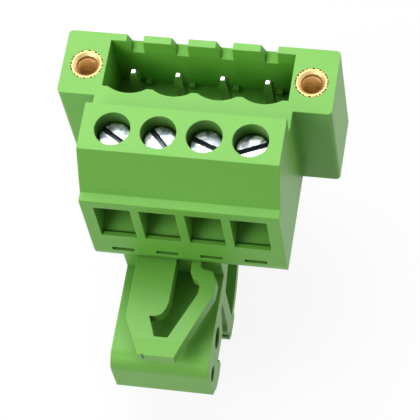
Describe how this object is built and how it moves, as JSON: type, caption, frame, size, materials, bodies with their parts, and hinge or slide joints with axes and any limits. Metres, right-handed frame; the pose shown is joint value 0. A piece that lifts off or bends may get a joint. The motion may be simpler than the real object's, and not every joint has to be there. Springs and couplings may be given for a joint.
{
  "type": "rail_mounted_pluggable_terminal_block",
  "caption": "Green pluggable terminal block on a clip-on rail foot: open pin header with threaded flanges, rising-cage screw clamps in front of it and a sprung latch for a 35 mm rail.",
  "frame": {"origin": "middle of the foot on the rail's centre line, on the plane of the rail's brims", "axes": "+X along the rail and the row of poles, +Y from the wire side towards the header, +Z away from the rail"},
  "size_m": [0.0309, 0.0403, 0.0346],
  "materials": {
    "housing": "moulded green polyamide, satin",
    "foot": "moulded green polyamide, satin",
    "cover": "moulded green polyamide, satin",
    "insert": "turned brass, knurled rim",
    "contact": "tin-plated copper alloy strip",
    "cage": "zinc-plated steel",
    "screw": "zinc-plated steel, bright blue passivated"
  },
  "bodies": {
    "block": {"housing": "housing", "bottom_cover": "cover", "insert_left": "insert", "insert_right": "insert", "rail_foot": "foot", "contact_1": "contact", "contact_2": "contact", "contact_3": "contact", "contact_4": "contact"},
    "cage_1": {"clamp_cage_1": "cage"},
    "screw_1": {"clamp_screw_1": "screw"},
    "cage_2": {"clamp_cage_2": "cage"},
    "screw_2": {"clamp_screw_2": "screw"},
    "cage_3": {"clamp_cage_3": "cage"},
    "screw_3": {"clamp_screw_3": "screw"},
    "cage_4": {"clamp_cage_4": "cage"},
    "screw_4": {"clamp_screw_4": "screw"}
  },
  "joints": [
    {"name": "screw_turn_1", "type": "hinge", "parent": "block", "child": "screw_1", "pos_m": [-0.00508, -0.0033, 0.0252], "axis": [0, 0, -1], "range_deg": [0, 1800]},
    {"name": "cage_lift_1", "type": "slide", "parent": "block", "child": "cage_1", "axis": [0, 0, 1], "range_m": [0, 0.0025]},
    {"name": "screw_turn_2", "type": "hinge", "parent": "block", "child": "screw_2", "pos_m": [0, -0.0033, 0.0252], "axis": [0, 0, -1], "range_deg": [0, 1800]},
    {"name": "cage_lift_2", "type": "slide", "parent": "block", "child": "cage_2", "axis": [0, 0, 1], "range_m": [0, 0.0025]},
    {"name": "screw_turn_3", "type": "hinge", "parent": "block", "child": "screw_3", "pos_m": [0.00508, -0.0033, 0.0252], "axis": [0, 0, -1], "range_deg": [0, 1800]},
    {"name": "cage_lift_3", "type": "slide", "parent": "block", "child": "cage_3", "axis": [0, 0, 1], "range_m": [0, 0.0025]},
    {"name": "screw_turn_4", "type": "hinge", "parent": "block", "child": "screw_4", "pos_m": [0.01016, -0.0033, 0.0252], "axis": [0, 0, -1], "range_deg": [0, 1800]},
    {"name": "cage_lift_4", "type": "slide", "parent": "block", "child": "cage_4", "axis": [0, 0, 1], "range_m": [0, 0.0025]}
  ],
  "couplings": [
    {"joint": "screw_turn_1", "follows": "cage_lift_1", "rad_per_m": 12566},
    {"joint": "screw_turn_2", "follows": "cage_lift_2", "rad_per_m": 12566},
    {"joint": "screw_turn_3", "follows": "cage_lift_3", "rad_per_m": 12566},
    {"joint": "screw_turn_4", "follows": "cage_lift_4", "rad_per_m": 12566}
  ]
}
